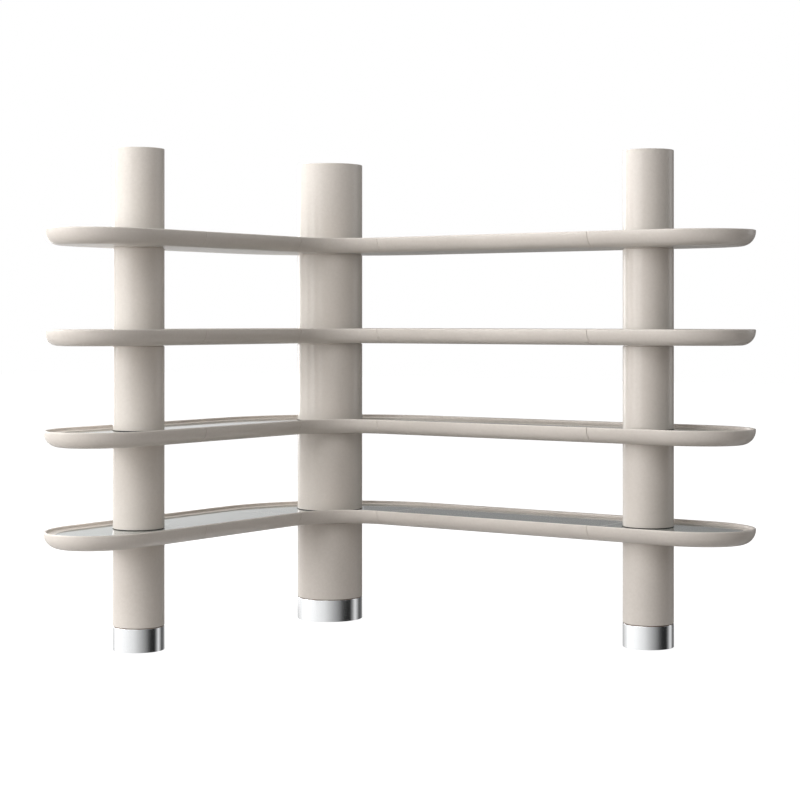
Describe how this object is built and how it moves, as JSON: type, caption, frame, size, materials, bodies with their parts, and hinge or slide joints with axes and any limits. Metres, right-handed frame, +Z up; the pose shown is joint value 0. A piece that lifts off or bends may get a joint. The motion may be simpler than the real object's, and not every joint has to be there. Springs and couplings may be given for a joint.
{
  "type": "corner shelf unit",
  "caption": "Free-standing L-shaped corner shelf unit: leather-covered trays with bowl-like edges and inset glass, threaded on round covered columns with bright plinth rings.",
  "frame": {"origin": "on the floor, under the centre of the unit's bounding box", "axes": "+Z up; the right wing runs along +X and the left wing along -Y, and both fronts face into the room at +X -Y; the walls of the corner are at -X and +Y"},
  "size_m": [2.31, 1.897, 2],
  "materials": {
    "leather": "fine-grained warm greige leather, satin",
    "glass": "grey-green back-lacquered glass, polished",
    "chrome": "polished steel band with a very fine turned grain",
    "steel": "plain machined steel, hidden",
    "timber": "raw turned hardwood, painted dark at the reveal",
    "rubber": "black rubber, matt"
  },
  "bodies": {
    "root": {"shelf_1_left_end": "leather", "shelf_1_left_span": "leather", "shelf_1_corner": "leather", "shelf_1_right_span": "leather", "shelf_1_right_end": "leather", "shelf_1_glass": "glass", "shelf_2_left_end": "leather", "shelf_2_left_span": "leather", "shelf_2_corner": "leather", "shelf_2_right_span": "leather", "shelf_2_right_end": "leather", "shelf_2_glass": "glass", "shelf_3_left_end": "leather", "shelf_3_left_span": "leather", "shelf_3_corner": "leather", "shelf_3_right_span": "leather", "shelf_3_right_end": "leather", "shelf_3_glass": "glass", "shelf_4_left_end": "leather", "shelf_4_left_span": "leather", "shelf_4_corner": "leather", "shelf_4_right_span": "leather", "shelf_4_right_end": "leather", "shelf_4_glass": "glass", "left_column_segment_1": "leather", "left_column_segment_2": "leather", "left_column_segment_3": "leather", "left_column_segment_4": "leather", "left_column_segment_5": "leather", "left_top_cap": "leather", "left_plinth_ring": "chrome", "left_plinth_block": "timber", "left_base_plate": "steel", "left_tie_rod": "steel", "left_clamp_nut": "steel", "left_floor_pad": "rubber", "corner_column_segment_1": "leather", "corner_column_segment_2": "leather", "corner_column_segment_3": "leather", "corner_column_segment_4": "leather", "corner_column_segment_5": "leather", "corner_top_cap": "leather", "corner_plinth_ring": "chrome", "corner_plinth_block": "timber", "corner_base_plate": "steel", "corner_tie_rod": "steel", "corner_clamp_nut": "steel", "corner_floor_pad": "rubber", "right_column_segment_1": "leather", "right_column_segment_2": "leather", "right_column_segment_3": "leather", "right_column_segment_4": "leather", "right_column_segment_5": "leather", "right_top_cap": "leather", "right_plinth_ring": "chrome", "right_plinth_block": "timber", "right_base_plate": "steel", "right_tie_rod": "steel", "right_clamp_nut": "steel", "right_floor_pad": "rubber"}
  },
  "joints": []
}
